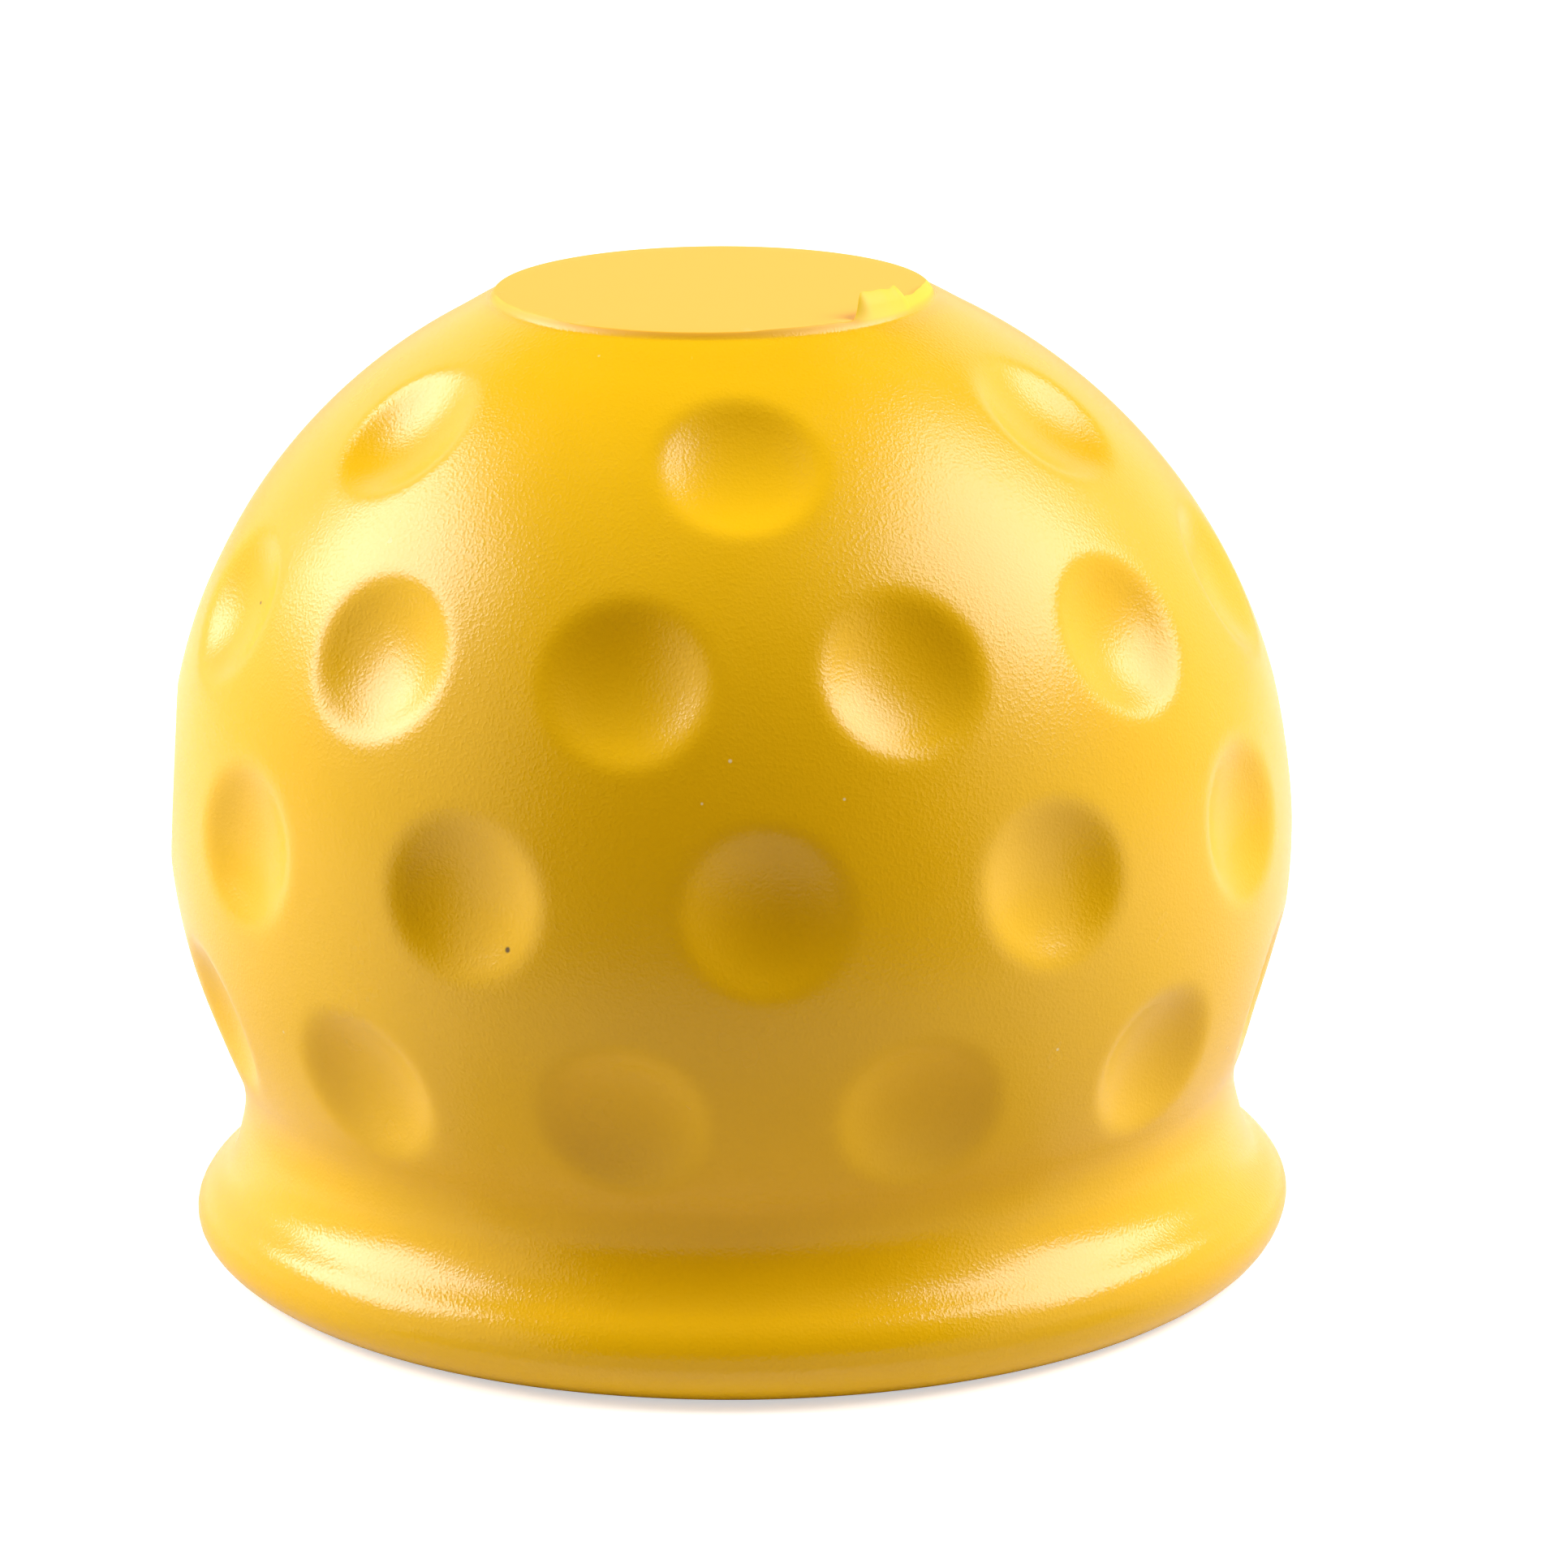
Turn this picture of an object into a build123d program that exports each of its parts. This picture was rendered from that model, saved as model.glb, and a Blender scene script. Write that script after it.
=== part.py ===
from build123d import *
import os
from math import acos, asin, cos, degrees, radians, sin, sqrt

# Tow ball cover: a soft moulded cap shaped like a golf ball, cut flat on top and open below.
# The origin is the centre of the base ring, and +Z runs up the cap's axis. Millimetres and degrees.

# What the cover is pulled over, the room around it and how much tighter the neck is
COUPLING_BALL = 50.0
BALL_ROOM = 4.0
NECK_GRIP = 0.4

# Walls, and the rounds inside
WALL = 3.5
NECK_WALL = 3.8
ROOF_ROUND = 4.0
SHOULDER_ROUND = 5.0
MOUTH_ROUND = 1.9

# Outside: flat raised disc on top, hollow neck, bead around the mouth
DISC_DIAMETER = 24.9
DISC_STEP = 0.5
NECK_ROUND = 5.0
BEAD_OVERHANG = 3.2
BEAD_ROUND = 2.7

# Dimples, in evenly spaced rings from the disc down to the neck, with every other ring turned half a step
DIMPLE_DIAMETER = 9.0
DIMPLE_DEPTH = 1.3
LIP_ROUND = 1.8
DISC_MARGIN = 5.4
NECK_MARGIN = 0.4
RING_COUNTS = (6, 12, 12, 12)
FRONT = -90.0

# How far the cavity's cut runs past the base, to open it cleanly
CUT_MARGIN = 1.0

# Outer section, as radius and height: bead, hollow neck round and ball, each touching the next
inner_radius = COUPLING_BALL / 2 + BALL_ROOM
body_radius = inner_radius + WALL
bore_radius = (COUPLING_BALL - NECK_GRIP) / 2
waist_radius = bore_radius + NECK_WALL
bead_centre = Vector(waist_radius + BEAD_OVERHANG - BEAD_ROUND, BEAD_ROUND)
bead_side = bead_centre + Vector(BEAD_ROUND, 0)
bead_foot = bead_centre - Vector(0, BEAD_ROUND)
neck_reach = waist_radius + NECK_ROUND
neck_rise = sqrt((BEAD_ROUND + NECK_ROUND) ** 2 - (neck_reach - bead_centre.X) ** 2)
neck_centre = Vector(neck_reach, bead_centre.Y + neck_rise)
neck_waist = Vector(waist_radius, neck_centre.Y)
body_rise = sqrt((body_radius + NECK_ROUND) ** 2 - neck_reach**2)
body_centre = Vector(0, neck_centre.Y + body_rise)
body_side = body_centre + Vector(body_radius, 0)
neck_foot = bead_centre + (neck_centre - bead_centre).normalized() * BEAD_ROUND
neck_top = body_centre + (neck_centre - body_centre).normalized() * body_radius
disc_radius = DISC_DIAMETER / 2
disc_foot = body_centre + Vector(disc_radius, sqrt(body_radius**2 - disc_radius**2))
top_height = disc_foot.Y + DISC_STEP

# Cavity section: the ball less its wall, with a flat roof, narrowing to the straight bore of the neck
roof_height = top_height - WALL
roof_radius = sqrt(inner_radius**2 - (roof_height - body_centre.Y) ** 2)
roof_edge = Vector(roof_radius, roof_height)
cavity_side = body_centre + Vector(inner_radius, 0)
bore_top = body_centre + Vector(bore_radius, -sqrt(inner_radius**2 - bore_radius**2))

# Each dimple is a shallow cap of a sphere that stands outside the ball, with a round on its lip
rim_radius = DIMPLE_DIAMETER / 2
rim_drop = body_radius - sqrt(body_radius**2 - rim_radius**2)
cap_depth = DIMPLE_DEPTH - rim_drop
cap_radius = (rim_radius**2 + cap_depth**2) / (2 * cap_depth)
cap_reach = body_radius - DIMPLE_DEPTH + cap_radius

# Half of the arc that a dimple and its lip take up on the ball, from the triangle between the centres of
# ball, lip round and cap
lip_reach = body_radius - LIP_ROUND
lip_cosine = (lip_reach**2 + cap_reach**2 - (cap_radius + LIP_ROUND) ** 2) / (2 * lip_reach * cap_reach)
half_width = degrees(acos(lip_cosine))

# Latitudes of the first and last ring, which keep their margins from the disc and the neck
top_latitude = degrees(acos(disc_radius / body_radius) - DISC_MARGIN / body_radius) - half_width
low_latitude = degrees(NECK_MARGIN / body_radius - asin(body_rise / (body_radius + NECK_ROUND))) + half_width
ring_pitch = (top_latitude - low_latitude) / (len(RING_COUNTS) - 1)

os.makedirs("parts", exist_ok=True)

with BuildPart() as cover:
    # Solid outer form
    with BuildSketch(Plane.XZ):
        with BuildLine():
            Polyline((0, 0), (0, top_height), (disc_radius, top_height), disc_foot)
            ThreePointArc(disc_foot, body_side, neck_top)
            ThreePointArc(neck_top, neck_waist, neck_foot)
            ThreePointArc(neck_foot, bead_side, bead_foot)
            Line(bead_foot, (0, 0))
        make_face()
    revolve(axis=Axis.Z)

    # Staggered rings of dimples with soft lips
    for ring, count in enumerate(RING_COUNTS):
        latitude = radians(top_latitude - ring * ring_pitch)
        half_step = 180 / count
        first = FRONT + (half_step if ring % 2 else 0)
        with Locations((0, 0, body_centre.Y + cap_reach * sin(latitude))):
            with PolarLocations(cap_reach * cos(latitude), count, start_angle=first):
                Sphere(cap_radius, mode=Mode.SUBTRACT)
    rims = cover.edges().filter_by(GeomType.CIRCLE).filter_by(lambda edge: abs(edge.radius - rim_radius) < 1e-3)
    fillet(rims, radius=LIP_ROUND)

    # Cavity, open at the mouth
    with BuildSketch(Plane.XZ) as cavity:
        with BuildLine():
            Polyline((bore_radius, -CUT_MARGIN), (0, -CUT_MARGIN), (0, roof_height), roof_edge)
            ThreePointArc(roof_edge, cavity_side, bore_top)
            Line(bore_top, (bore_radius, -CUT_MARGIN))
        make_face()
        fillet(cavity.vertices().sort_by_distance(roof_edge)[0], radius=ROOF_ROUND)
        fillet(cavity.vertices().sort_by_distance(bore_top)[0], radius=SHOULDER_ROUND)
    revolve(axis=Axis.Z, mode=Mode.SUBTRACT)
    mouth = cover.edges().filter_by(GeomType.CIRCLE).group_by(Axis.Z)[0].sort_by(SortBy.RADIUS)[0]
    fillet(mouth, radius=MOUTH_ROUND)

cover.part.label = "cover"
export_step(cover.part, "parts/cover.step")
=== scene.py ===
import bpy
import numpy as np
from mathutils import Matrix, Vector


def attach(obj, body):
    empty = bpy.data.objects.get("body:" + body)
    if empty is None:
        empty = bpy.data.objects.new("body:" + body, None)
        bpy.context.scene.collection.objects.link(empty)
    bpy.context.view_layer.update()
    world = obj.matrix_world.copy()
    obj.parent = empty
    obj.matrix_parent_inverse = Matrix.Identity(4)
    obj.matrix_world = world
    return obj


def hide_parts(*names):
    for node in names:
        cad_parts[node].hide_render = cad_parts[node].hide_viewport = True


# Looks of a tow ball cover: one soft moulded cap shaped like a golf ball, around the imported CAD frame.
# Lengths are millimetres and angles degrees, unless a heading says otherwise; meshes are in metres.
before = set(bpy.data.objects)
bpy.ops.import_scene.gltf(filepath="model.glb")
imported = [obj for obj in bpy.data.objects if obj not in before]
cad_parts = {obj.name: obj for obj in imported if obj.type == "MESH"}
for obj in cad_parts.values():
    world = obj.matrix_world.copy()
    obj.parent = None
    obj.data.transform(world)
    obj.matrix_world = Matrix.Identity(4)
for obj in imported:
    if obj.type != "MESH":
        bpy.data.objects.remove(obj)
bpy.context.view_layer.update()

MM = 0.001

# Sizes repeated from the part's source
COUPLING_BALL = 50.0
BALL_ROOM = 4.0
NECK_GRIP = 0.4
WALL = 3.5
NECK_WALL = 3.8
ROOF_ROUND = 4.0
SHOULDER_ROUND = 5.0
MOUTH_ROUND = 1.9
DISC_RADIUS = 12.45
DISC_STEP = 0.5
NECK_ROUND = 5.0
BEAD_OVERHANG = 3.2
BEAD_ROUND = 2.7
DIMPLE_RADIUS = 4.5
DIMPLE_DEPTH = 1.3
LIP_ROUND = 1.8
DISC_MARGIN = 5.4
NECK_MARGIN = 0.4
RING_COUNTS = (6, 12, 12, 12)

# What moulding adds at the disc: a step that drops by a share in a short bend, and by the rest slowly
STEP_INSIDE = 0.12
STEP_OUTSIDE = 3.0
STEP_DROP = 0.35
STEP_SHARE = 0.6

# What moulding adds to the dimples: softer lips, and rings of the tool a little turned and lifted
LIP_EASING = 0.65
RING_SHIFTS = (-0.5, 0.75, -0.6, -0.3)
RING_LIFTS = (1.3, 0.0, 0.0, 0.0)

# Slow waves in the skin, fading out towards the disc and the neck: the way that each runs, in radians
# for each millimetre, its shift in radians and its share of the height
SKIN_WAVE = 0.05
WAVE_FADE = 6.0
SKIN_WAVES = (
    ((0.21, 0.13, 0.17), 0.4, 0.5),
    ((-0.11, 0.29, -0.08), 1.9, 0.3),
    ((0.33, -0.19, 0.27), 3.1, 0.2),
)

# How the soft cover stands: a lean to the camera's left for each millimetre of height, and a rim that
# is tilted and shifted that way too, each in its heights
LEAN = 0.0244
RIM_TILT = 0.55
TILT_BAND = (0.0, 2.5, 8.0, 16.0)
RIM_SHIFT = 0.07
RIM_SHIFT_TOP = 9.0

# Away from the front the bead sags, and waist and rim are fuller, each in its band of heights. The
# sides start and are full at these cosines from the front
SIDE_SAG = 0.75
SAG_BAND = (0.0, 5.6, 5.3, 7.0)
SIDE_WAIST = 0.38
WAIST_BAND = (5.0, 8.0, 9.0, 14.0)
SIDE_RIM = 0.2
RIM_BAND = (-1.0, 0.0, 2.0, 6.0)
SIDE_START = 0.7
SIDE_FULL = -0.2
LEAST_REACH = 1e-6

# Thin flash left standing on the disc's edge: azimuth to the camera's right, half width and height of
# each flake, the share of the height by which each row of the edge rises, the lean towards the disc as
# a share of the height, and share, pace and shift of the sines that fray it
FLASH_FLAKES = ((52.5, 13.5, 1.3), (75.0, 20.0, 0.55), (-62.0, 27.0, 0.12), (24.0, 16.0, 0.06))
FLASH_ROWS = (0.0, 0.55, 1.0, 1.0, 0.55, 0.0)
FLASH_LEAN = 0.45
FLASH_FRAY = ((0.07, 0.45, 0.0), (0.05, 0.7, 1.0))

# Rows and columns of the skin's grid, and the angle from which an edge stays sharp
COLUMNS = 416
DISC_ROWS = 12
STEP_ROWS = 18
BALL_ROWS = 116
NECK_ROWS = 19
BEAD_ROWS = 18
MOUTH_ROWS = 7
BORE_ROWS = 5
SHOULDER_ROWS = 6
CAVITY_ROWS = 24
ROOF_ROUND_ROWS = 5
ROOF_ROWS = 5
SHARP_ANGLE = 40.0

# Colours of the soft PVC: the two between which it is mottled, the disc's face, whose yellow is painted
# shade, and the thin flash, which is tinted by this strength for each millimetre of its height
DEEP_YELLOW = (0.85, 0.485, 0.002)
CLEAR_YELLOW = (0.89, 0.515, 0.003)
# Painted shade on the disc's face: a less green yellow that stands in for less light falling on the top
DISC_SHADE_YELLOW = (0.86, 0.44, 0.02)
FLASH_YELLOW = (0.93, 0.62, 0.02)
FLASH_STRENGTH = 4.0
MOTTLE_SCALE = 200.0
MOTTLE_DETAIL = 3.0
MOTTLE_ROUGHNESS = 0.6

# Gloss of the soft PVC: satin on the ball, smoother on the bead up to a height and duller on the disc's
# face, which ends between two depths below the top
SPECULAR_LEVEL = 0.40
SMOOTHEST = 0.20
ROUGHEST = 0.31
DISC_ROUGHNESS = 0.5
DISC_FACE_DEPTH = 0.1
DISC_FACE_END = 0.4
RUBBED_SHARE = 0.75
RUBBED_HEIGHT = 8.0
RUBBED_END = 13.0

# Grain of the soft PVC: a fine noise, of which the parts between two levels stand up further as pimples
GRAIN_SCALE = 5400.0
GRAIN_DETAIL = 1.0
GRAIN_ROUGHNESS = 0.5
GRAIN_STRENGTH = 0.11
GRAIN_HEIGHT = 0.2
PIMPLE_START = 0.56
PIMPLE_FULL = 0.80
PIMPLE_RISE = 0.5

# Dirt and dust in the photograph: azimuth to the camera's right, latitude and radius of each speck
DARK_SPECKS = ((-21.7, 0.6, 0.22), (44.5, 67.6, 0.20), (-69.3, 28.1, 0.14))
DARK_SPECK = (0.06, 0.035, 0.012)
DARK_STRENGTH = 0.9
PALE_SPECKS = ((1.0, 19.8, 0.13), (34.0, -11.7, 0.11), (-1.9, 15.8, 0.09), (12.1, 15.8, 0.10))
PALE_SPECK = (0.95, 0.80, 0.45)
PALE_STRENGTH = 0.8

# Dust and dirt strewn over the skin: cells for each metre, a speck's radius in cells, and the share of
# the cells that hold one
STREWN_SCALE = 380.0
STREWN_RADIUS = 0.045
DUST_SHARE = 0.06
DUST = (0.95, 0.78, 0.35)
DUST_STRENGTH = 0.7
DIRT_SHARE = 0.05
DIRT = (0.25, 0.13, 0.02)
DIRT_STRENGTH = 0.6

# Camera, worked out from the photograph's outline; it stands turned a little from the front
CAMERA_TURN = -4.45
CAMERA_RISE = 15.51
CAMERA_REACH = 400.5
CAMERA_ROLL = -0.417
CAMERA_AIM_SIDE = 3.127
CAMERA_AIM_HEIGHT = 26.84
CAMERA_NEAR = 10.0
CAMERA_FAR = 50000.0
FOCAL_PIXELS = 8516.5
IMAGE_PIXELS = 1932.0
SENSOR = 36.0

# Floor, ceiling and world of the studio, in metres; the floor's lift and the world's strength are light
FLOOR_HALF = 3.0
FLOOR_LEVEL = -0.0001
FLOOR_WHITE = (0.8, 0.8, 0.8)
FLOOR_LIFT = 0.55
CEILING_HALF = 0.95
CEILING_LEVEL = 0.85
CEILING_GREY = (0.15, 0.15, 0.15)
WORLD_STRENGTH = 0.5

# Dark front of the studio and sheets on the floor before the cover, in metres, along one arc of
# azimuths: name, inner and outer reach and colour of each sheet
ARC_START = -132.0
ARC_END = -40.0
ARC_POINTS = 13
FRONT_REACH = 0.75
FRONT_FOOT = 0.0075
FRONT_HEAD = 0.8075
FRONT_BROWN = (0.21, 0.03, 0.006)
SHEET_LEVEL = 0.001
FLOOR_SHEETS = (
    # The near sheet is painted shadow: greyer than the floor, it stands in for the cover's shadow on the
    # floor close by, in what the cover reflects and catches
    ("near_shadow_sheet", 0.034, 0.054, (0.52, 0.50, 0.40)),
    ("middle_foreground", 0.054, 0.100, (0.67, 0.65, 0.54)),
    ("far_foreground", 0.100, 0.750, (0.12, 0.08, 0.045)),
)

# Softboxes: distance from the cover in metres, then name, azimuth to the camera's right, rise, width
# and height in metres and power in watts of each
SOFTBOX_REACH = 0.6
SOFTBOXES = (
    ("left_softbox", -98.0, 35.0, 0.43, 0.34, 4.2),
    ("right_softbox", 92.0, 43.0, 0.46, 0.39, 4.4),
)

# Sockets of Blender's mix node, which has some of the same name for each kind of data
FIRST_NUMBER = 2
SECOND_NUMBER = 3
MIXED_NUMBER = 0
FIRST_COLOUR = 6
SECOND_COLOUR = 7
MIXED_COLOUR = 2

# Section of the cover, as radius and height
inner_radius = COUPLING_BALL / 2 + BALL_ROOM
body_radius = inner_radius + WALL
bore_radius = (COUPLING_BALL - NECK_GRIP) / 2
waist_radius = bore_radius + NECK_WALL
bead_reach = waist_radius + BEAD_OVERHANG - BEAD_ROUND
neck_reach = waist_radius + NECK_ROUND
neck_height = BEAD_ROUND + np.sqrt((BEAD_ROUND + NECK_ROUND) ** 2 - (neck_reach - bead_reach) ** 2)
body_height = neck_height + np.sqrt((body_radius + NECK_ROUND) ** 2 - neck_reach**2)
disc_angle = np.degrees(np.arccos(DISC_RADIUS / body_radius))
step_angle = np.degrees(np.arccos((DISC_RADIUS + STEP_OUTSIDE) / body_radius))
neck_angle = np.degrees(np.arctan2(neck_height - body_height, neck_reach))
bead_angle = np.degrees(np.arctan2(neck_height - BEAD_ROUND, neck_reach - bead_reach))
top_height = body_height + body_radius * np.sin(np.radians(disc_angle)) + DISC_STEP
roof_height = top_height - WALL
shoulder_reach = bore_radius + SHOULDER_ROUND
shoulder_height = body_height - np.sqrt((inner_radius + SHOULDER_ROUND) ** 2 - shoulder_reach**2)
shoulder_angle = np.degrees(np.arctan2(shoulder_height - body_height, shoulder_reach))
roof_centre = roof_height - ROOF_ROUND
roof_reach = np.sqrt((inner_radius - ROOF_ROUND) ** 2 - (roof_centre - body_height) ** 2)
roof_angle = np.degrees(np.arctan2(roof_centre - body_height, roof_reach))
ball_centre = np.array([0, 0, body_height])

# Form of one dimple: a cap of a sphere outside the ball, and the angle from its axis where its lip
# starts, from the triangle between the centres of ball, lip round and cap
rim_drop = body_radius - np.sqrt(body_radius**2 - DIMPLE_RADIUS**2)
cap_depth = DIMPLE_DEPTH - rim_drop
cap_radius = (DIMPLE_RADIUS**2 + cap_depth**2) / (2 * cap_depth)
cap_reach = body_radius - DIMPLE_DEPTH + cap_radius
lip_reach = body_radius - LIP_ROUND
lip_cosine = (lip_reach**2 + cap_reach**2 - (cap_radius + LIP_ROUND) ** 2) / (2 * lip_reach * cap_reach)
lip_angle = np.degrees(np.arccos(lip_cosine))


def eased(share):
    """Smooth step from 0 to 1: three times the share's square less twice its cube, held at the ends."""
    share = np.clip(share, 0, 1)
    return share * share * (3 - 2 * share)


def band(heights, foot, full, top, end):
    """Share of a band of heights: smooth rise from foot to full, times smooth fall from top to end."""
    return eased((heights - foot) / (full - foot)) * (1 - eased((heights - top) / (end - top)))


def arc(centre, radius, start, end, count):
    """Arc of a section: centre plus radius times the cosine and sine of evenly spaced angles."""
    angles = np.radians(np.linspace(start, end, count))
    return np.stack([centre[0] + radius * np.cos(angles), centre[1] + radius * np.sin(angles)], axis=1)


def run(start, end, count):
    """Straight run of a section: evenly spaced points from start to end."""
    share = np.linspace(0, 1, count)[:, None]
    return np.array(start) * (1 - share) + np.array(end) * share


def column_azimuths():
    """Azimuth of each column of the grid, in radians: even steps round the axis."""
    return np.linspace(0, 2 * np.pi, COLUMNS, endpoint=False)


def turned(section):
    """Section carried round the axis: radius times the cosine and sine of each column's azimuth."""
    azimuths = column_azimuths()
    ring = np.stack([np.cos(azimuths), np.sin(azimuths)], axis=1)
    flat = section[:, None, :1] * ring[None]
    heights = np.broadcast_to(section[:, None, 1:], flat.shape[:2] + (1,))
    return np.concatenate([flat, heights], axis=2)


def dimple_axes():
    """Unit vectors from the ball's centre to each dimple: rings of equal pitch in latitude between the
    margins of disc and neck, each even in azimuth from the front, every other one half a step on."""
    top = disc_angle - np.degrees(DISC_MARGIN / body_radius) - lip_angle
    low = neck_angle + np.degrees(NECK_MARGIN / body_radius) + lip_angle
    latitudes = np.radians(np.linspace(top, low, len(RING_COUNTS)) + RING_LIFTS)
    axes = []
    for ring, (latitude, count) in enumerate(zip(latitudes, RING_COUNTS)):
        front = np.radians(RING_SHIFTS[ring] - 90)
        azimuths = front + (np.arange(count) + 0.5 * (ring % 2)) * 2 * np.pi / count
        heights = np.full(count, np.sin(latitude))
        flat = np.cos(latitude)
        axes.append(np.stack([flat * np.cos(azimuths), flat * np.sin(azimuths), heights], axis=1))
    return np.concatenate(axes)


def dimpled_reach(directions):
    """Distance of the skin from the ball's centre: the lesser of the ball's radius and the distance to
    the nearest dimple's cap. Where the two are within the easing of each other, the lip is lowered by a
    sixth of the easing times the cube of how near they are."""
    nearest = np.clip((directions @ dimple_axes().T).max(axis=-1), -1, 1)
    across = cap_reach**2 * (1 - nearest**2)
    cap = cap_reach * nearest - np.sqrt(np.maximum(cap_radius**2 - across, 0))
    near = np.maximum(1 - np.abs(cap - body_radius) / LIP_EASING, 0)
    return np.minimum(cap, body_radius) - LIP_EASING / 6 * near**3


def skin_wave(points):
    """Slow waves of the moulded skin: a sum of sines of the place, each with its own way and length."""
    total = np.zeros(points.shape[:-1])
    for way, shift, share in SKIN_WAVES:
        total = total + share * np.sin(points @ np.array(way) + shift)
    return SKIN_WAVE * total


def soft_step():
    """Section of the disc's edge, with closer points near the edge: the height over the ball's own
    curve falls by most of the step in a short smooth drop, and by the rest in a long one."""
    along = (STEP_INSIDE + STEP_OUTSIDE) * np.linspace(0, 1, STEP_ROWS) ** 2
    reach = DISC_RADIUS - STEP_INSIDE + along
    onto_ball = body_height + np.sqrt(body_radius**2 - reach**2)
    fallen = STEP_SHARE * eased(along / STEP_DROP) + (1 - STEP_SHARE) * eased(along / along[-1])
    above = np.minimum(onto_ball + DISC_STEP, top_height) - onto_ball
    return np.stack([reach, onto_ball + above * (1 - fallen)], axis=1)


def flash_height(azimuths):
    """Height of the flash by azimuth: the tallest flake there, each a hump with a flat middle, times
    one plus the sines that fray it."""
    height = np.zeros(azimuths.shape)
    for middle, half_width, tall in FLASH_FLAKES:
        apart = np.abs((azimuths - middle + 180) % 360 - 180)
        height = np.maximum(height, tall * eased(2 * (1 - apart / half_width)))
    fray = np.zeros(azimuths.shape)
    for share, pace, shift in FLASH_FRAY:
        fray = fray + share * np.sin(pace * azimuths + shift)
    return height * (1 + fray)


def raise_flash(step):
    """Rows of the disc's edge with the flash pulled up out of them, and their rise: a row rises by its
    share of the flash's height, and leans in towards the disc by the cube of that share. The rows each
    side of the crest keep it a thin standing film."""
    share = np.zeros((len(step), 1))
    share[: len(FLASH_ROWS), 0] = FLASH_ROWS
    height = flash_height(np.degrees(column_azimuths()) + 90 - CAMERA_TURN)
    rise = share * height
    lean = FLASH_LEAN * share**3 * height
    inward = -step[..., :2] / np.linalg.norm(step[..., :2], axis=-1, keepdims=True)
    raised = step.copy()
    raised[..., 2] += rise
    raised[..., :2] += lean[..., None] * inward
    return raised, rise


def dimpled_ball():
    """Rows of the ball from the step to the neck, moved along their radius to the dimpled reach and by
    the slow waves, which fade out at both ends."""
    smooth = turned(arc((0, body_height), body_radius, step_angle, neck_angle, BALL_ROWS)[1:])
    outward = (smooth - ball_centre) / body_radius
    high = smooth[0, 0, 2]
    low = smooth[-1, 0, 2]
    waving = band(smooth[..., 2], low, low + WAVE_FADE, high - WAVE_FADE, high)
    reach = dimpled_reach(outward) + waving * skin_wave(smooth)
    return ball_centre + outward * reach[..., None]


def neck_and_cavity():
    """Rows below the ball and up the inside: arcs and straight runs of neck, bead, mouth, bore,
    shoulder, cavity and roof, carried round the axis."""
    mouth_centre = (bore_radius + MOUTH_ROUND, MOUTH_ROUND)
    section = [
        arc((neck_reach, neck_height), NECK_ROUND, neck_angle + 180, bead_angle + 180, NECK_ROWS)[1:],
        arc((bead_reach, BEAD_ROUND), BEAD_ROUND, bead_angle, -90, BEAD_ROWS)[1:],
        arc(mouth_centre, MOUTH_ROUND, -90, -180, MOUTH_ROWS),
        run((bore_radius, MOUTH_ROUND), (bore_radius, shoulder_height), BORE_ROWS)[1:-1],
        arc((shoulder_reach, shoulder_height), SHOULDER_ROUND, 180, 180 + shoulder_angle, SHOULDER_ROWS),
        arc((0, body_height), inner_radius, shoulder_angle, roof_angle, CAVITY_ROWS)[1:],
        arc((roof_reach, roof_centre), ROOF_ROUND, roof_angle, 90, ROOF_ROUND_ROWS)[1:],
        run((roof_reach, roof_height), (0, roof_height), ROOF_ROWS)[1:],
    ]
    return turned(np.concatenate(section))


def cover_skin():
    """The whole closed skin as rows, from the top's centre down the outside and up the inside, and how
    far each point stands up as flash."""
    disc = turned(run((0, top_height), (DISC_RADIUS - STEP_INSIDE, top_height), DISC_ROWS)[:-1])
    step, rise = raise_flash(turned(soft_step()))
    skin = np.concatenate([disc, step, dimpled_ball(), neck_and_cavity()])
    flash = np.zeros(skin.shape[:2])
    flash[len(disc) : len(disc) + len(step)] = rise
    return skin, flash


def settled(points):
    """How the soft body stands, with the camera's left and front as its directions. At the sides and
    back the bead's shoulder sags and the waist and rim are fuller. The neck and bead are tilted, lower
    on the left, and the whole leans left by its lean times the height over the ball's middle, with the
    rim a little further."""
    turn = np.radians(CAMERA_TURN)
    left = np.array([-np.cos(turn), -np.sin(turn)])
    front = np.array([np.sin(turn), -np.cos(turn)])
    heights = points[..., 2]
    reach = np.maximum(np.linalg.norm(points[..., :2], axis=-1, keepdims=True), LEAST_REACH)
    outward = points[..., :2] / reach
    outside = reach[..., 0] > bore_radius + MOUTH_ROUND
    aside = outside * eased((SIDE_START - outward @ front) / (SIDE_START - SIDE_FULL))
    fuller = aside * (SIDE_WAIST * band(heights, *WAIST_BAND) + SIDE_RIM * band(heights, *RIM_BAND))
    sag = aside * SIDE_SAG * band(heights, *SAG_BAND)
    tilt = np.radians(RIM_TILT) * band(heights, *TILT_BAND) * (points[..., :2] @ left)
    lean = LEAN * (heights - body_height) + RIM_SHIFT * (1 - eased(heights / RIM_SHIFT_TOP))
    standing = points.copy()
    standing[..., :2] += fuller[..., None] * outward + lean[..., None] * left
    standing[..., 2] -= sag + tilt
    return standing


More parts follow.
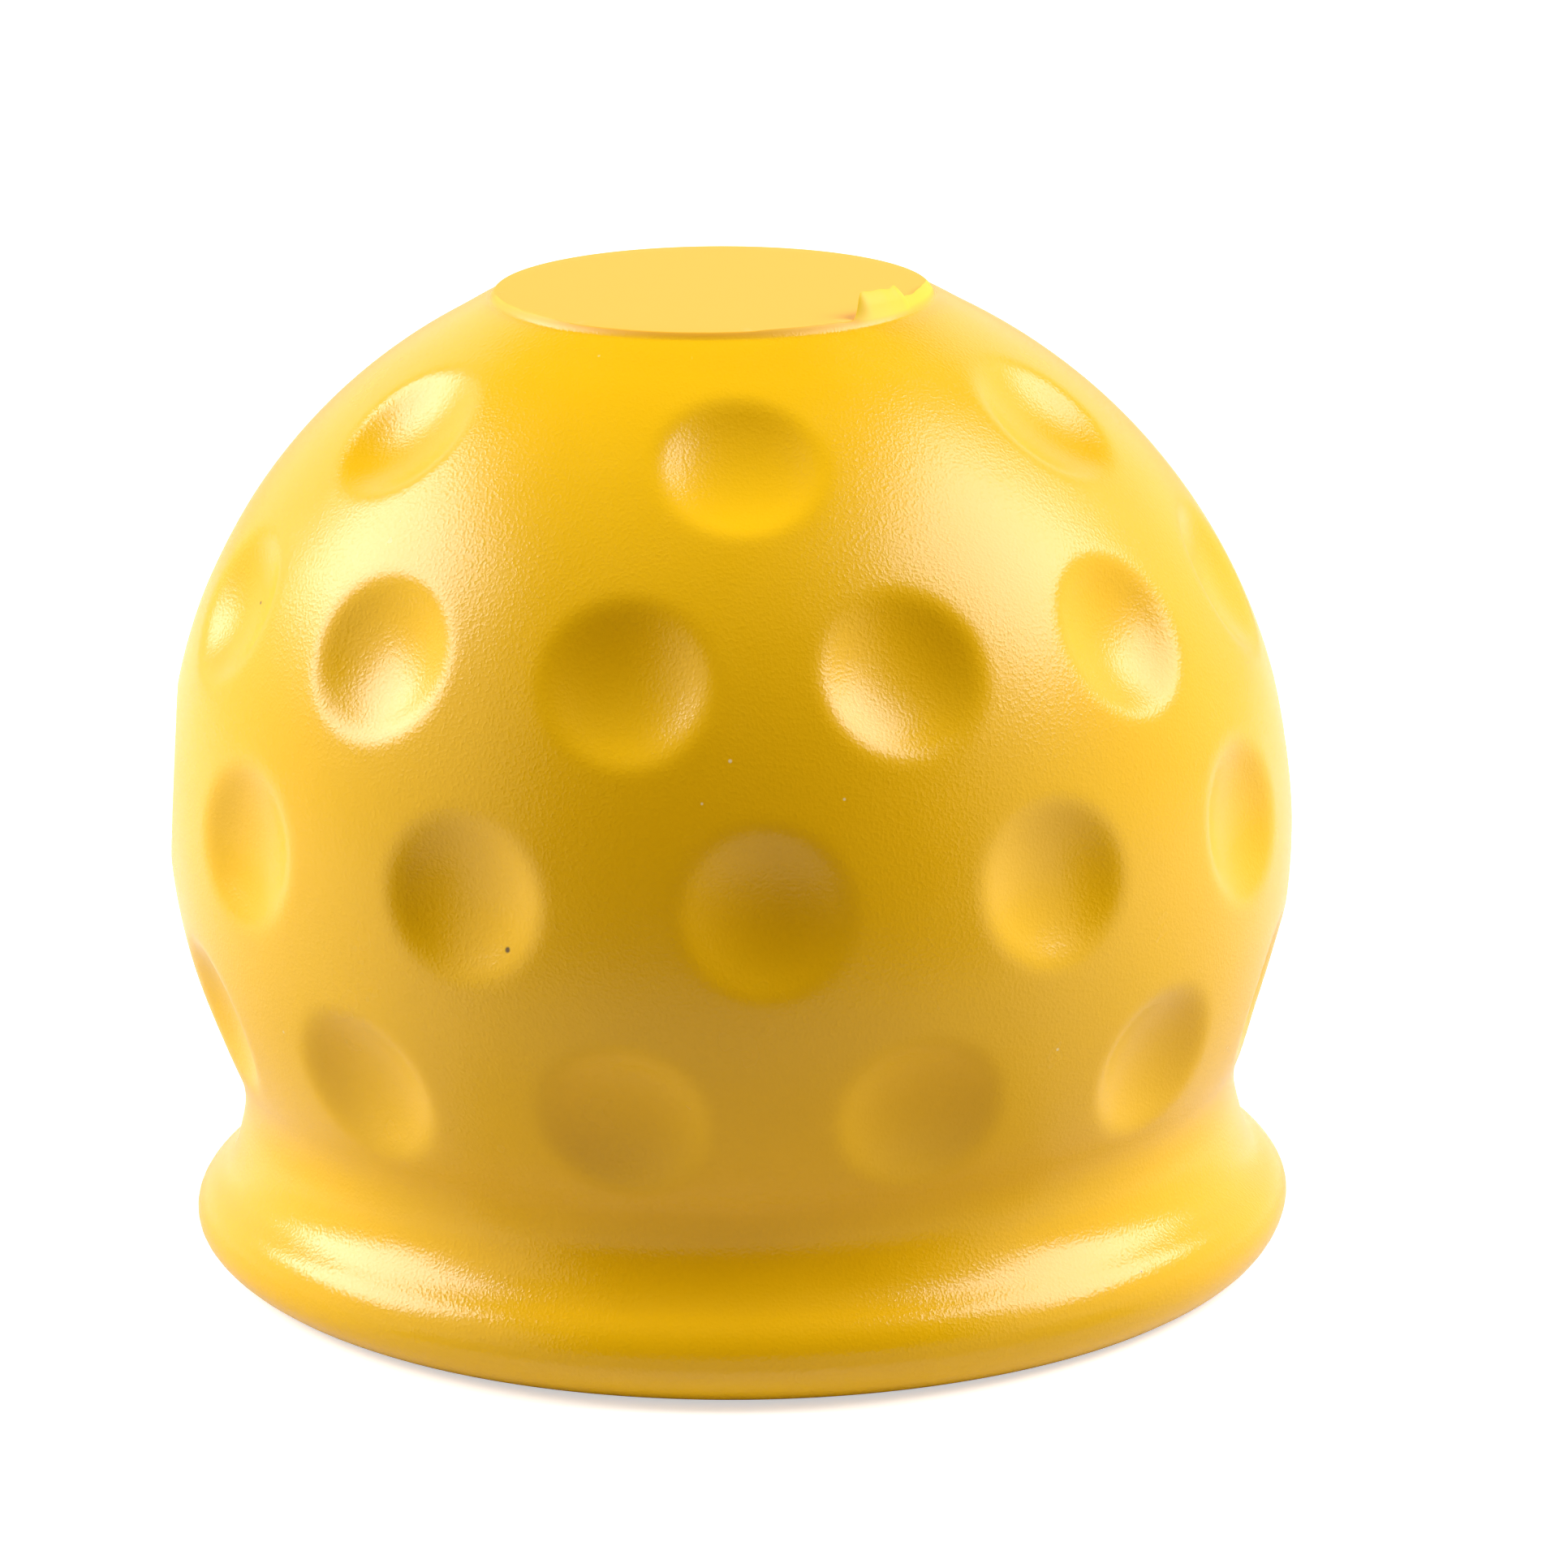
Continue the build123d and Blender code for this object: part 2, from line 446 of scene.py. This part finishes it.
def closed_mesh(name, grid, flash):
    """Mesh of a grid whose columns close round an axis and whose first and last rows are each one
    point: quads between neighbouring rows, and fans of triangles at both ends. The flash's height goes
    with the points."""
    rows, columns = grid.shape[:2]
    points = np.concatenate([grid[:1, 0], grid[1:-1].reshape(-1, 3), grid[-1:, 0]])
    here = 1 + np.arange((rows - 2) * columns).reshape(rows - 2, columns)
    beside = np.roll(here, -1, axis=1)
    quads = np.stack([here[:-1], here[1:], beside[1:], beside[:-1]], axis=-1).reshape(-1, 4)
    last = len(points) - 1
    first_fan = np.stack([np.zeros(columns, int), here[0], beside[0]], axis=-1)
    last_fan = np.stack([np.full(columns, last), beside[-1], here[-1]], axis=-1)
    mesh = bpy.data.meshes.new(name)
    mesh.from_pydata((points * MM).tolist(), [], first_fan.tolist() + quads.tolist() + last_fan.tolist())
    mesh.update()
    mesh.shade_smooth()
    mesh.set_sharp_from_angle(angle=np.radians(SHARP_ANGLE))
    heights = np.concatenate([flash[:1, 0], flash[1:-1].ravel(), flash[-1:, 0]])
    mesh.attributes.new("flash", "FLOAT", "POINT").data.foreach_set("value", heights)
    return mesh


def add_object(name, data):
    """Object at the origin, in the scene."""
    made = bpy.data.objects.new(name, data)
    bpy.context.scene.collection.objects.link(made)
    return made


def node(tree, kind, **values):
    """Shader node with its properties set, and its inputs by name where they are sockets."""
    made = tree.nodes.new(kind)
    for key, value in values.items():
        if key in made.inputs:
            made.inputs[key].default_value = value
        else:
            setattr(made, key, value)
    return made


def joined(tree, operation, first, second):
    """Number socket made of two others by an operation."""
    made = node(tree, "ShaderNodeMath", operation=operation)
    tree.links.new(first, made.inputs[0])
    tree.links.new(second, made.inputs[1])
    return made.outputs[0]


def opposite(tree, share):
    """One less a share."""
    rest = node(tree, "ShaderNodeMath", operation="SUBTRACT")
    rest.inputs[0].default_value = 1.0
    tree.links.new(share, rest.inputs[1])
    return rest.outputs[0]


def ranged(tree, value, start, end, least=0.0, most=1.0, kind="LINEAR"):
    """Number socket that goes from least to most as the value goes from start to end."""
    level = node(tree, "ShaderNodeMapRange", interpolation_type=kind)
    level.inputs["From Min"].default_value = start
    level.inputs["From Max"].default_value = end
    level.inputs["To Min"].default_value = least
    level.inputs["To Max"].default_value = most
    tree.links.new(value, level.inputs["Value"])
    return level.outputs["Result"]


def by_height(tree, place, start, end, least=0.0):
    """Number socket that goes from the least to 1 between two heights."""
    parts = node(tree, "ShaderNodeSeparateXYZ")
    tree.links.new(place, parts.inputs[0])
    return ranged(tree, parts.outputs["Z"], start * MM, end * MM, least)


def noise(tree, place, scale, detail, roughness):
    """Number socket of a noise in space."""
    made = node(tree, "ShaderNodeTexNoise", Scale=scale, Detail=detail, Roughness=roughness)
    tree.links.new(place, made.inputs["Vector"])
    return made.outputs["Fac"]


def within(tree, apart, radius):
    """Number socket that is 1 up to half a radius away, and falls to 0 at the radius."""
    return ranged(tree, apart, radius, 0.5 * radius)


def ball_place(azimuth, latitude):
    """Place on the finished skin, in metres, of an azimuth to the camera's right and a latitude on the
    ball: the dimpled reach that way from the ball's centre, settled as the body is."""
    turn = np.radians(azimuth - 90 + CAMERA_TURN)
    lift = np.radians(latitude)
    outward = np.array([np.cos(turn) * np.cos(lift), np.sin(turn) * np.cos(lift), np.sin(lift)])
    return settled(ball_centre + outward * dimpled_reach(outward)) * MM


def placed_specks(tree, place, specks):
    """Number socket that is 1 within any of the specks: each one's distance against its radius."""
    shares = []
    for azimuth, latitude, radius in specks:
        apart = node(tree, "ShaderNodeVectorMath", operation="DISTANCE")
        apart.inputs[1].default_value = ball_place(azimuth, latitude)
        tree.links.new(place, apart.inputs[0])
        shares.append(within(tree, apart.outputs["Value"], radius * MM))
    total = shares[0]
    for share in shares[1:]:
        total = joined(tree, "MAXIMUM", total, share)
    return total


def strewn_specks(tree, place, shares):
    """Number sockets that are 1 in tiny round specks, one for each share: the middles of random cells,
    each kind drawn from its own share of the cells by one of their random values."""
    cells = node(tree, "ShaderNodeTexVoronoi", Scale=STREWN_SCALE)
    tree.links.new(place, cells.inputs["Vector"])
    near = within(tree, cells.outputs["Distance"], STREWN_RADIUS)
    drawn = node(tree, "ShaderNodeSeparateColor")
    tree.links.new(cells.outputs["Color"], drawn.inputs[0])
    kinds = []
    for value, share in enumerate(shares):
        chosen = node(tree, "ShaderNodeMath", operation="LESS_THAN")
        chosen.inputs[1].default_value = share
        tree.links.new(drawn.outputs[value], chosen.inputs[0])
        kinds.append(joined(tree, "MULTIPLY", near, chosen.outputs[0]))
    return kinds


def mottled(tree, drift, first, second):
    """Colour socket that drifts between two close colours with a slow noise."""
    mix = node(tree, "ShaderNodeMix", data_type="RGBA")
    tree.links.new(drift, mix.inputs["Factor"])
    mix.inputs[FIRST_COLOUR].default_value = (*first, 1)
    mix.inputs[SECOND_COLOUR].default_value = (*second, 1)
    return mix.outputs[MIXED_COLOUR]


def tinted(tree, under, share, colour, strength=1.0):
    """Colour socket with another colour laid over it by a share times a strength."""
    scaled = node(tree, "ShaderNodeMath", operation="MULTIPLY", use_clamp=True)
    scaled.inputs[1].default_value = strength
    tree.links.new(share, scaled.inputs[0])
    mix = node(tree, "ShaderNodeMix", data_type="RGBA")
    tree.links.new(scaled.outputs[0], mix.inputs["Factor"])
    tree.links.new(under, mix.inputs[FIRST_COLOUR])
    mix.inputs[SECOND_COLOUR].default_value = (*colour, 1)
    return mix.outputs[MIXED_COLOUR]


def pvc_colour(tree, place, moulded, drift):
    """Colour socket of the soft PVC: mottled yellow, a less green yellow of painted shade on the disc's
    face, another in the thin flash, then specks of dust and dirt laid over."""
    film = node(tree, "ShaderNodeAttribute", attribute_name="flash").outputs["Fac"]
    colour = mottled(tree, drift, DEEP_YELLOW, CLEAR_YELLOW)
    # Painted shade: the disc's face gets a less green yellow, standing in for less light falling on the
    # top
    colour = tinted(tree, colour, opposite(tree, moulded), DISC_SHADE_YELLOW)
    colour = tinted(tree, colour, film, FLASH_YELLOW, FLASH_STRENGTH)
    dust, dirt = strewn_specks(tree, place, (DUST_SHARE, DIRT_SHARE))
    colour = tinted(tree, colour, joined(tree, "MULTIPLY", dust, moulded), DUST, DUST_STRENGTH)
    colour = tinted(tree, colour, joined(tree, "MULTIPLY", dirt, moulded), DIRT, DIRT_STRENGTH)
    colour = tinted(tree, colour, placed_specks(tree, place, PALE_SPECKS), PALE_SPECK, PALE_STRENGTH)
    return tinted(tree, colour, placed_specks(tree, place, DARK_SPECKS), DARK_SPECK, DARK_STRENGTH)


def pvc_roughness(tree, place, moulded, drift):
    """Number socket of the roughness: it drifts with the mottling, is less on the bead, which hands
    have rubbed smoother, and more on the disc's face."""
    satin = ranged(tree, drift, 0.0, 1.0, SMOOTHEST, ROUGHEST)
    rubbed = by_height(tree, place, RUBBED_HEIGHT, RUBBED_END, RUBBED_SHARE)
    mix = node(tree, "ShaderNodeMix")
    tree.links.new(moulded, mix.inputs["Factor"])
    mix.inputs[FIRST_NUMBER].default_value = DISC_ROUGHNESS
    tree.links.new(joined(tree, "MULTIPLY", satin, rubbed), mix.inputs[SECOND_NUMBER])
    return mix.outputs[MIXED_NUMBER]


def leathery_grain(tree, place, share):
    """Normal socket of the moulded grain: a fine noise whose highest parts stand up further as pimples
    that glint, as one bump, only where the share is."""
    grain = noise(tree, place, GRAIN_SCALE, GRAIN_DETAIL, GRAIN_ROUGHNESS)
    pimple = ranged(tree, grain, PIMPLE_START, PIMPLE_FULL, kind="SMOOTHSTEP")
    height = node(tree, "ShaderNodeMath", operation="MULTIPLY_ADD")
    height.inputs[1].default_value = PIMPLE_RISE
    tree.links.new(pimple, height.inputs[0])
    tree.links.new(grain, height.inputs[2])
    bump = node(tree, "ShaderNodeBump", Strength=GRAIN_STRENGTH, Distance=GRAIN_HEIGHT * MM)
    tree.links.new(joined(tree, "MULTIPLY", height.outputs[0], share), bump.inputs["Height"])
    return bump.outputs["Normal"]


def soft_pvc_material():
    """Soft PVC: deep yellow with faint mottling, satin, with a fine leathery grain, paler in the thin
    flash, and a few specks of dirt and dust. The disc's face is plainer and duller, and its yellow is
    painted shade."""
    material = bpy.data.materials.new("soft_pvc")
    material.use_nodes = True
    tree = material.node_tree
    shader = tree.nodes["Principled BSDF"]
    shader.inputs["Specular IOR Level"].default_value = SPECULAR_LEVEL
    place = node(tree, "ShaderNodeTexCoord").outputs["Object"]
    moulded = by_height(tree, place, top_height - DISC_FACE_DEPTH, top_height - DISC_FACE_END)
    drift = noise(tree, place, MOTTLE_SCALE, MOTTLE_DETAIL, MOTTLE_ROUGHNESS)
    tree.links.new(pvc_colour(tree, place, moulded, drift), shader.inputs["Base Color"])
    tree.links.new(pvc_roughness(tree, place, moulded, drift), shader.inputs["Roughness"])
    tree.links.new(leathery_grain(tree, place, moulded), shader.inputs["Normal"])
    return material


def camera_place():
    """Camera's place: it stands at its reach and rise in front of the aim, rolled about its view and
    then turned about the vertical axis with its aim."""
    rise = np.radians(CAMERA_RISE)
    away = CAMERA_REACH * np.cos(rise)
    height = CAMERA_AIM_HEIGHT + CAMERA_REACH * np.sin(rise)
    stand = Matrix.Translation(Vector((CAMERA_AIM_SIDE, -away, height)) * MM)
    tilt = Matrix.Rotation(np.radians(90 - CAMERA_RISE), 4, "X")
    roll = Matrix.Rotation(np.radians(CAMERA_ROLL), 4, "Z")
    turn = Matrix.Rotation(np.radians(CAMERA_TURN), 4, "Z")
    return turn @ stand @ tilt @ roll


def add_camera():
    """Camera with the photograph's focal length, as the sensor's share of the image's pixels."""
    lens = bpy.data.cameras.new("camera")
    lens.sensor_width = SENSOR
    lens.lens = FOCAL_PIXELS / IMAGE_PIXELS * SENSOR
    lens.clip_start = CAMERA_NEAR * MM
    lens.clip_end = CAMERA_FAR * MM
    made = add_object("camera", lens)
    made.matrix_world = camera_place()
    bpy.context.scene.camera = made


def add_softbox(name, azimuth, rise, width, height, power):
    """Softbox: an area lamp that far round from the camera's side and that far up, facing the cover."""
    data = bpy.data.lights.new(name, "AREA")
    data.shape = "RECTANGLE"
    data.size = width
    data.size_y = height
    data.energy = power
    made = add_object(name, data)
    turn = np.radians(azimuth + CAMERA_TURN)
    lift = np.radians(rise)
    aim = Vector((0, 0, body_height * MM))
    away = Vector((np.sin(turn) * np.cos(lift), -np.cos(turn) * np.cos(lift), np.sin(lift)))
    facing = (-away).to_track_quat("-Z", "Y").to_matrix().to_4x4()
    made.matrix_world = Matrix.Translation(aim + SOFTBOX_REACH * away) @ facing


def light_world():
    """World: plain soft white light, seen as full white by the camera and in reflections."""
    world = bpy.data.worlds.new("studio")
    bpy.context.scene.world = world
    world.use_nodes = True
    tree = world.node_tree
    background = tree.nodes["Background"]
    background.inputs["Color"].default_value = (1, 1, 1, 1)
    rays = node(tree, "ShaderNodeLightPath").outputs
    seen = joined(tree, "MAXIMUM", rays["Is Camera Ray"], rays["Is Glossy Ray"])
    seen = joined(tree, "MAXIMUM", seen, rays["Is Transmission Ray"])
    tree.links.new(ranged(tree, seen, 0.0, 1.0, WORLD_STRENGTH), background.inputs["Strength"])


def white_floor_material():
    """White floor that keeps the cover's shadow, lifted towards full white for the camera."""
    material = bpy.data.materials.new("white_floor")
    material.use_nodes = True
    tree = material.node_tree
    tree.nodes.remove(tree.nodes["Principled BSDF"])
    white = node(tree, "ShaderNodeBsdfDiffuse", Color=(*FLOOR_WHITE, 1))
    glow = node(tree, "ShaderNodeEmission", Color=(1, 1, 1, 1))
    rays = node(tree, "ShaderNodeLightPath").outputs
    lift = ranged(tree, rays["Is Camera Ray"], 0.0, 1.0, 0.0, FLOOR_LIFT)
    tree.links.new(lift, glow.inputs["Strength"])
    both = node(tree, "ShaderNodeAddShader")
    tree.links.new(white.outputs[0], both.inputs[0])
    tree.links.new(glow.outputs[0], both.inputs[1])
    tree.links.new(both.outputs[0], tree.nodes["Material Output"].inputs["Surface"])
    return material


def card_material(name, colour):
    """Plain dull card of one colour."""
    material = bpy.data.materials.new(name)
    material.use_nodes = True
    shader = material.node_tree.nodes["Principled BSDF"]
    shader.inputs["Base Color"].default_value = (*colour, 1)
    shader.inputs["Roughness"].default_value = 1.0
    shader.inputs["Specular IOR Level"].default_value = 0.0
    return material


def add_card(name, points, faces, colour):
    """Studio card, which shades and reflects but never shows to the camera itself."""
    mesh = bpy.data.meshes.new(name)
    mesh.from_pydata(points, [], faces)
    mesh.materials.append(card_material(name, colour))
    card = add_object(name, mesh)
    card.visible_camera = False
    return card


def square(half, level):
    """Corners of a level square round the axis."""
    return [(-half, -half, level), (half, -half, level), (half, half, level), (-half, half, level)]


def front_arc(reach, level):
    """Points before the cover: the reach times cosine and sine of even azimuths, at one level."""
    angles = np.radians(np.linspace(ARC_START, ARC_END, ARC_POINTS) + CAMERA_TURN)
    return np.stack([reach * np.cos(angles), reach * np.sin(angles), np.full(ARC_POINTS, level)], axis=1)


def add_arc_card(name, first, second, colour):
    """Card of quads between two arcs of points."""
    faces = [(i, i + 1, i + ARC_POINTS + 1, i + ARC_POINTS) for i in range(ARC_POINTS - 1)]
    return add_card(name, np.concatenate([first, second]).tolist(), faces, colour)


def add_floor():
    """Floor: a wide white sheet just under the cover."""
    mesh = bpy.data.meshes.new("floor")
    mesh.from_pydata(square(FLOOR_HALF, FLOOR_LEVEL), [], [(0, 1, 2, 3)])
    mesh.materials.append(white_floor_material())
    add_object("floor", mesh)


def add_dark_front():
    """Dark side of the studio: a red-brown card on an arc behind the camera, from the floor up."""
    foot = front_arc(FRONT_REACH, FRONT_FOOT)
    head = front_arc(FRONT_REACH, FRONT_HEAD)
    add_arc_card("dark_front", foot, head, FRONT_BROWN)


def add_floor_sheet(name, start, end, colour):
    """Sheet on the floor before the cover, without a shadow on the floor that the camera sees."""
    sheet = add_arc_card(name, front_arc(start, SHEET_LEVEL), front_arc(end, SHEET_LEVEL), colour)
    sheet.visible_shadow = False


def add_dim_ceiling():
    """Dim ceiling: a grey card over the softboxes, facing down."""
    add_card("dim_ceiling", square(CEILING_HALF, CEILING_LEVEL), [(0, 3, 2, 1)], CEILING_GREY)


skin, flash = cover_skin()
cover = add_object("moulded_cover", closed_mesh("moulded_cover", settled(skin), flash))
cover.data.materials.append(soft_pvc_material())
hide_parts("cover")
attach(cover, "root")

add_camera()
add_floor()
add_dark_front()
for sheet in FLOOR_SHEETS:
    add_floor_sheet(*sheet)
add_dim_ceiling()
light_world()
for softbox in SOFTBOXES:
    add_softbox(*softbox)

bpy.context.scene.view_settings.view_transform = "Standard"
bpy.context.view_layer.update()
